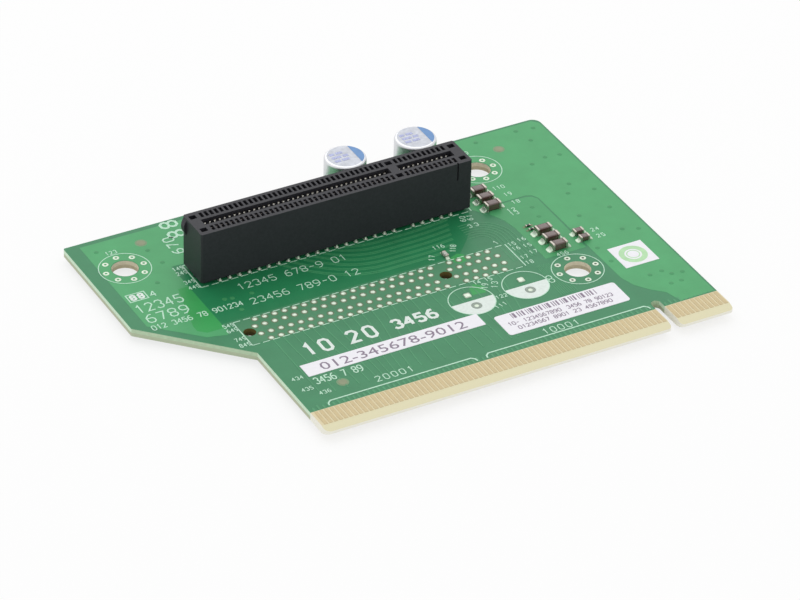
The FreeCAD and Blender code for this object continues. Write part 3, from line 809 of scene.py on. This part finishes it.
digit_strokes = {
    "0": [[(0, 1), (0, 5), (1, 6), (3, 6), (4, 5), (4, 1), (3, 0), (1, 0), (0, 1)]],
    "1": [[(0.8, 4.8), (2.2, 6), (2.2, 0)]],
    "2": [[(0, 5), (1, 6), (3, 6), (4, 5), (4, 4), (0, 0), (4, 0)]],
    "3": [[(0, 5), (1, 6), (3, 6), (4, 5), (4, 4), (3, 3.1), (4, 2.2), (4, 1), (3, 0), (1, 0), (0, 1)]],
    "4": [[(4, 2), (0, 2), (3, 6)], [(3, 6), (3, 0)]],
    "5": [[(4, 6), (0.4, 6), (0, 3.5), (3, 3.5), (4, 2.5), (4, 1), (3, 0), (1, 0), (0, 1)]],
    "6": [[(3.6, 6), (2, 6), (0, 4), (0, 1), (1, 0)], [(0, 3.4), (3, 3.4), (4, 2.4), (4, 1), (3, 0), (1, 0)]],
    "7": [[(0, 6), (4, 6), (1.5, 0)]],
    "8": [[(1, 3.1), (3, 3.1), (4, 4), (4, 5), (3, 6), (1, 6), (0, 5), (0, 4), (1, 3.1)],
          [(1, 3.1), (0, 2), (0, 1), (1, 0), (3, 0), (4, 1), (4, 2), (3, 3.1)]],
    "9": [[(0.4, 0), (2, 0), (4, 2), (4, 5), (3, 6)], [(4, 2.6), (1, 2.6), (0, 3.6), (0, 5), (1, 6), (3, 6)]],
    "-": [[(0.4, 3), (3.6, 3)]],
}


def turned_about(path, x, y, turn):
    """Path moved to x, y after a turn in degrees: (c u - s v, s u + c v)."""
    c = math.cos(math.radians(turn))
    s = math.sin(math.radians(turn))
    path = np.array(path, float)
    return np.stack([x + c * path[:, 0] - s * path[:, 1], y + s * path[:, 0] + c * path[:, 1]], -1)


def stroked(text, x, y, width, height, weight=0.2, turn=0.0, low=ink_low, high=ink_high):
    """Number drawn with a plotter's strokes: each digit lies on a grid 4 wide and 6 high, and
    the digits stand at an even pitch so that the row fills the width."""
    digit_width = min(0.62 * height, 0.7 * width / len(text) if len(text) > 1 else width)
    pitch = (width - digit_width) / max(len(text) - 1, 1)
    bars = []
    for index, digit in enumerate(text):
        for order, stroke in enumerate(digit_strokes.get(digit, [])):
            path = np.array(stroke, float) * np.array([digit_width / 4, height / 6]) + np.array([index * pitch, 0.0])
            path = turned_about(path, x, y, turn)
            closed = stroke[0] == stroke[-1]
            top = high + 0.004 * order
            bars.append(bar_along(path[:-1] if closed else path, weight, low, top, closed))
    return joined(bars)


def ink_line(path, width=0.2, closed=False):
    """Printed line of the ink's thickness."""
    return bar_along(path, width, ink_low, ink_high, closed)


spare_places = [(-29.38, 23.1), (-18.18, 23.1)]
spare_radius = 4.35
lines = [ink_line(circle_line(x, y, r), 0.17, True) for (x, y), r in zip(hole_places, (4.85, 4.65, 4.85))]
lines += [ink_line(circle_line(x, y, spare_radius), 0.18, True) for x, y in spare_places]
half_length = 28.1
half_width = 3.9
slot_x = (contact_x[0] + contact_x[-1]) / 2
for axis in (slot_axis, empty_axis):
    for side in (-1, 1):
        end_x = slot_x + side * half_length
        lines.append(ink_line([(end_x, axis - half_width), (end_x, axis + half_width)], 0.22))
        for dash_x in np.arange(slot_x - half_length, slot_x + half_length - 1, 2.0):
            dash = [(dash_x + 0.1, axis + side * half_width), (dash_x + 1.5, axis + side * half_width)]
            lines.append(ink_line(dash, 0.18))
for left, right in ((-67.45, -37.65), (-35.65, -1.75)):
    rise = ((0, 6.35), (0.15, 7.0), (0.75, 7.55))
    bracket = [(left + inward, y) for inward, y in rise] + [(right - inward, y) for inward, y in rise[::-1]]
    lines.append(ink_line(bracket, 0.28))
box_corners = [(-84.7, 50.2), (-81.1, 50.2), (-81.1, 52.5), (-84.7, 52.5)]
lines.append(ink_line(box_corners, 0.22, True))
piece("ink_lines", joined(lines), ink)

half_lead_pitch = 1.75
halves = []
for x, y in spare_places:
    angle = np.linspace(-np.pi, 0, 40)
    arc_points = np.stack([x + (spare_radius - 0.05) * np.cos(angle), y + (spare_radius - 0.05) * np.sin(angle)], -1)
    opening = [circle_line(x, y - half_lead_pitch, 0.95, 32)]
    halves.append(filled(arc_points, opening, ink_low, ink_high - 0.005))
bold_rows = [
    ("88", -84.1, 50.65, 2.4, 1.4, 0.42), ("10", -63.6, 21.2, 5.0, 3.3, 0.62), ("20", -54.8, 21.2, 5.2, 3.3, 0.62),
    ("3456", -45.8, 21.5, 8.6, 2.5, 0.6),
]
halves += [stroked(*row) for row in bold_rows]
piece("ink_fields", joined(halves), ink_solid)
lower_spares = [(x, y - half_lead_pitch) for x, y in spare_places]
spare_ring = [(0.42, 0), (1.02, 0), (1.0, 0.07), (0.8, 0.1), (0.6, 0.08), (0.46, 0.05)]
spare_metal = finish("spare_ring_tin", linear(138, 150, 140), 0.35, metallic=0.4, mottle=0.08)
spare_rings = turned(spare_ring, lower_spares, 24, ring=True, base=face)
piece("spare_capacitor_rings", spare_rings, spare_metal, smooth=True)
spare_fill = [(0, 0), (0.5, 0), (0.4, 0.06), (0, 0.08)]
solder("spare_capacitor_ring_fill", spare_fill, lower_spares, 20, base=face)
square_pads = []
for x, y in spare_places:
    pad_y = y + half_lead_pitch
    square_pads.append(rounded_block((x - 0.68, pad_y - 0.7, face - 0.3), (x + 0.68, pad_y + 0.7, face + 0.3), 0.29))
piece("spare_capacitor_filled_pads", joined(square_pads), tin, smooth=True)
under_pad = [(0, -0.14), (0.5, -0.12), (0.8, -0.06), (0.95, 0), (0, 0)]
under_places = lower_spares + [(x, y + half_lead_pitch) for x, y in spare_places]
solder("spare_capacitor_pads_solder_side", under_pad, under_places, 20)

number_rows = [
    ("12345", -84.8, 46.4, 9.0, 2.4, 0.26), ("6789", -84.4, 42.9, 8.1, 2.4, 0.26),
    ("012 3456 78 901234", -84.8, 40.5, 18.0, 1.35, 0.19), ("4", -80.4, 50.2, 1.0, 1.6, 0.22),
    ("12345 678-9 01", -65.2, 45.0, 22.0, 1.75, 0.17), ("23456 789-0 12", -65.2, 39.9, 22.0, 1.75, 0.17),
    ("3456 7 89", -66.4, 12.9, 9.4, 1.8, 0.24), ("20001", -56.5, 8.75, 7.4, 1.5, 0.18),
    ("10001", -22.8, 8.0, 7.3, 1.5, 0.18), ("88", -65.9, 65.6, 5.2, 3.1, 0.5, 90.0),
    ("670", -68.7, 60.6, 5.4, 2.0, 0.3, 90.0), ("123", -82.0, 65.75, 2.1, 1.0, 0.15),
    ("456", -8.1, 28.45, 2.2, 1.0, 0.15), ("789", -8.0, 66.0, 2.2, 1.0, 0.15),
    ("110", -7.7, 52.9, 2.3, 1.0, 0.15), ("19", -6.8, 50.2, 1.4, 1.0, 0.15), ("18", -6.8, 47.3, 1.5, 1.0, 0.15),
    ("12", -9.0, 45.2, 1.6, 1.0, 0.15), ("13", -9.0, 44.0, 1.6, 1.0, 0.15),
    ("16", -12.2, 35.9, 1.5, 0.95, 0.15), ("15", -12.2, 33.7, 1.5, 0.95, 0.15),
    ("17", -12.2, 31.4, 1.5, 0.95, 0.15), ("24", 1.7, 32.7, 1.5, 1.0, 0.16), ("25", 1.7, 30.5, 1.5, 1.0, 0.16),
    ("116", -27.5, 40.5, 2.2, 1.0, 0.16), ("17", -29.2, 37.4, 1.6, 1.0, 0.16, 60.0),
    ("118", -24.3, 38.2, 2.2, 1.0, 0.16, 60.0), ("14 15", -26.4, 27.3, 3.7, 0.95, 0.15),
    ("13", -23.2, 24.6, 1.9, 1.1, 0.16, 60.0), ("19", -24.9, 25.2, 1.5, 1.1, 0.16, 60.0),
    ("122", -25.0, 21.5, 2.2, 0.9, 0.15), ("111", -26.5, 18.8, 2.4, 0.9, 0.15, 12.0),
    ("8", -13.7, 21.6, 1.0, 2.2, 0.18), ("1", -16.3, 36.9, 0.6, 1.1, 0.16, 20.0),
    ("60", -17.6, 46.2, 1.6, 1.0, 0.16, 70.0), ("61", -16.2, 46.0, 1.6, 1.0, 0.16, 70.0),
    ("33", -18.1, 43.9, 2.0, 1.0, 0.16), ("434", -69.8, 15.5, 2.1, 0.95, 0.15),
    ("435", -69.7, 11.9, 2.1, 0.95, 0.15), ("436", -67.3, 9.8, 2.1, 0.95, 0.15),
]
numbers = [stroked(*row) for row in number_rows]
for axis, row_text in ((slot_axis, "1234"), (empty_axis, "5678")):
    for row_y, first in zip((2.95, 1.35, -1.75, -3.65), row_text):
        numbers.append(stroked(first + "49", -73.3, axis + row_y, 2.0, 1.0, 0.16))
        if axis == empty_axis:
            numbers.append(stroked("1" + first, -14.5, axis + row_y, 1.4, 1.0, 0.15))
piece("ink_numbers", joined(numbers), ink)


# --- Labels --------------------------------------------------------------------------------
# Paper stickers with a thermal print: a strip with a plain number, a bar code over two rows
# of plain numbers, and a small square one with a green ring.
paper = finish("label_paper", linear(242, 241, 246), 0.7, mottle=0.02, grain=1200.0, specular=0.2)
thermal = finish("thermal_print", linear(146, 134, 150), 0.7, grain=2500.0, relief=0.002, specular=0.2)
ring_print = finish("ring_print", linear(186, 226, 180), 0.6, mottle=0.06, grain=900.0, relief=0.002, specular=0.2)
for label in ("strip_label", "bar_label", "square_label"):
    dress(label, paper)
sheet_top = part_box("strip_label")[1].z * 1000
print_low = sheet_top - 0.02
print_high = sheet_top + 0.012


def sans_number(text, x, y, width, height):
    """Number in the built-in typeface, scaled to a box with its low corner at x, y."""
    letters = bpy.data.curves.new("number", "FONT")
    letters.body = text
    letters.resolution_u = 2
    letters.extrude = 0.02
    points, faces = curve_shape(letters)
    low = points.min(0)
    points = (points - low) / (points.max(0) - low) * np.array([width, height, print_high - print_low])
    return points + np.array([x, y, print_low]), faces


strip_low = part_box("strip_label")[0]
prints = [sans_number("012-345678-9012", strip_low.x * 1000 + 3.2, strip_low.y * 1000 + 0.6, 29.4, 2.3)]
bar_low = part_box("bar_label")[0]
bar_x = bar_low.x * 1000
bar_y = bar_low.y * 1000
step = 0
cursor = bar_x + 3.2
while cursor < bar_x + 21.0:
    bar_width = (0.16, 0.34, 0.2, 0.5)[(step * 7 + step // 3) % 4]
    prints.append(bar_along([(cursor, bar_y + 4.4), (cursor, bar_y + 5.9)], bar_width, print_low, print_high))
    cursor += bar_width / 2 + (0.3, 0.24, 0.44)[(step * 5) % 3] + 0.14
    step += 1
for text, x, y, width in (
    ("10- 1234567890", 1.4, 2.6, 10.8), ("3456 78 90123", 13.6, 2.6, 9.4), ("01234567 8901 23 4567890", 2.6, 1.0, 19.4),
):
    prints.append(stroked(text, bar_x + x, bar_y + y, width, 0.95, 0.17, low=print_low, high=print_high))
piece("thermal_print", joined(prints), thermal)


def ring_plate(x, y, outer, inner, steps=40):
    """Flat ring as a turned loop with a square section."""
    loop = [(inner, print_low), (outer, print_low), (outer, print_high), (inner, print_high)]
    return turned(loop, [(x, y)], steps, ring=True)


square_low, square_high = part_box("square_label")
middle_x = (square_low.x + square_high.x) * 500
middle_y = (square_low.y + square_high.y) * 500
rings = [ring_plate(middle_x, middle_y, 2.7, 1.65), ring_plate(middle_x, middle_y, 1.3, 1.1)]
piece("square_label_rings", joined(rings), ring_print)


# --- Floor, light and camera ---------------------------------------------------------------
# A white sheet under the card, an even white surround, one large soft lamp, and a camera with
# a long lens in front of the connecting edge.
floor_mesh = bpy.data.meshes.new("floor")
floor_z = cad_low.z - 0.00002
span = 6.0
floor_corners = [(x, y, floor_z) for x, y in ((-span, -span), (span, -span), (span, span), (-span, span))]
floor_mesh.from_pydata(floor_corners, [], [(0, 1, 2, 3)])
floor = placed("floor", floor_mesh)


def seen_directly(tree):
    """Node whose value is 1 for rays from the camera, in a mirror or through glass, and 0 for the light itself."""
    path = added(tree, "LightPath")
    either = added(tree, "Math", operation="MAXIMUM")
    wire(tree, path, "Is Camera Ray", either, 0)
    wire(tree, path, "Is Glossy Ray", either, 1)
    any_of = added(tree, "Math", operation="MAXIMUM")
    wire(tree, either, "Value", any_of, 0)
    wire(tree, path, "Is Transmission Ray", any_of, 1)
    return any_of


sheet = finish("floor_sheet", (0.94, 0.94, 0.94, 1.0), 0.9, mottle=0.0, grain=20.0, relief=0.0, specular=0.0)
floor_tree = sheet.node_tree
glow = added(floor_tree, "Emission")
glow_share = 0.78
share = added(floor_tree, "Math", {1: glow_share}, operation="MULTIPLY")
wire(floor_tree, seen_directly(floor_tree), "Value", share, 0)
blend = added(floor_tree, "MixShader")
wire(floor_tree, share, "Value", blend, "Fac")
wire(floor_tree, floor_tree.nodes["Principled BSDF"], "BSDF", blend, 1)
wire(floor_tree, glow, "Emission", blend, 2)
wire(floor_tree, blend, "Shader", floor_tree.nodes["Material Output"], "Surface")
floor_mesh.materials.append(sheet)

world = bpy.data.worlds.new("surround")
bpy.context.scene.world = world
world.use_nodes = True
world_tree = world.node_tree
background = world_tree.nodes["Background"]
level = added(world_tree, "MapRange", {"To Min": 0.8, "To Max": 1.0})
wire(world_tree, seen_directly(world_tree), "Value", level, "Value")
wire(world_tree, level, "Result", background, "Strength")
background.inputs["Color"].default_value = (1.0, 1.0, 1.0, 1.0)

lamp_data = bpy.data.lights.new("key", "AREA")
lamp_data.shape = "DISK"
lamp_data.size = 2.4
lamp_data.energy = 9.8
lamp = placed("key", lamp_data)
lamp_place = Vector((0.15, 0.95, 1.3))
lamp.location = lamp_place
lamp.rotation_euler = (lamp_place - Vector((-0.04, 0.03, 0.0))).to_track_quat("Z", "Y").to_euler()

azimuth = math.radians(29.661)
elevation = math.radians(34.658)
roll = math.radians(1.683)
distance = 0.8004
aim = Vector((-0.0409, 0.02918, 0.00157))
ahead = Vector((math.sin(azimuth) * math.cos(elevation), math.cos(azimuth) * math.cos(elevation), -math.sin(elevation)))
level_right = Vector((math.cos(azimuth), -math.sin(azimuth), 0.0))
level_up = level_right.cross(ahead)
right = level_right * math.cos(roll) + level_up * math.sin(roll)
up = level_up * math.cos(roll) - level_right * math.sin(roll)
camera_data = bpy.data.cameras.new("camera")
camera_data.sensor_width = 36.0
camera_data.lens = 199.25
camera_data.clip_start = 0.01
camera_data.clip_end = 50.0
camera = placed("camera", camera_data)
turn = Matrix((right, up, -ahead)).transposed().to_4x4()
camera.matrix_world = Matrix.Translation(aim - ahead * distance) @ turn
bpy.context.scene.camera = camera
bpy.context.scene.view_settings.view_transform = "Standard"
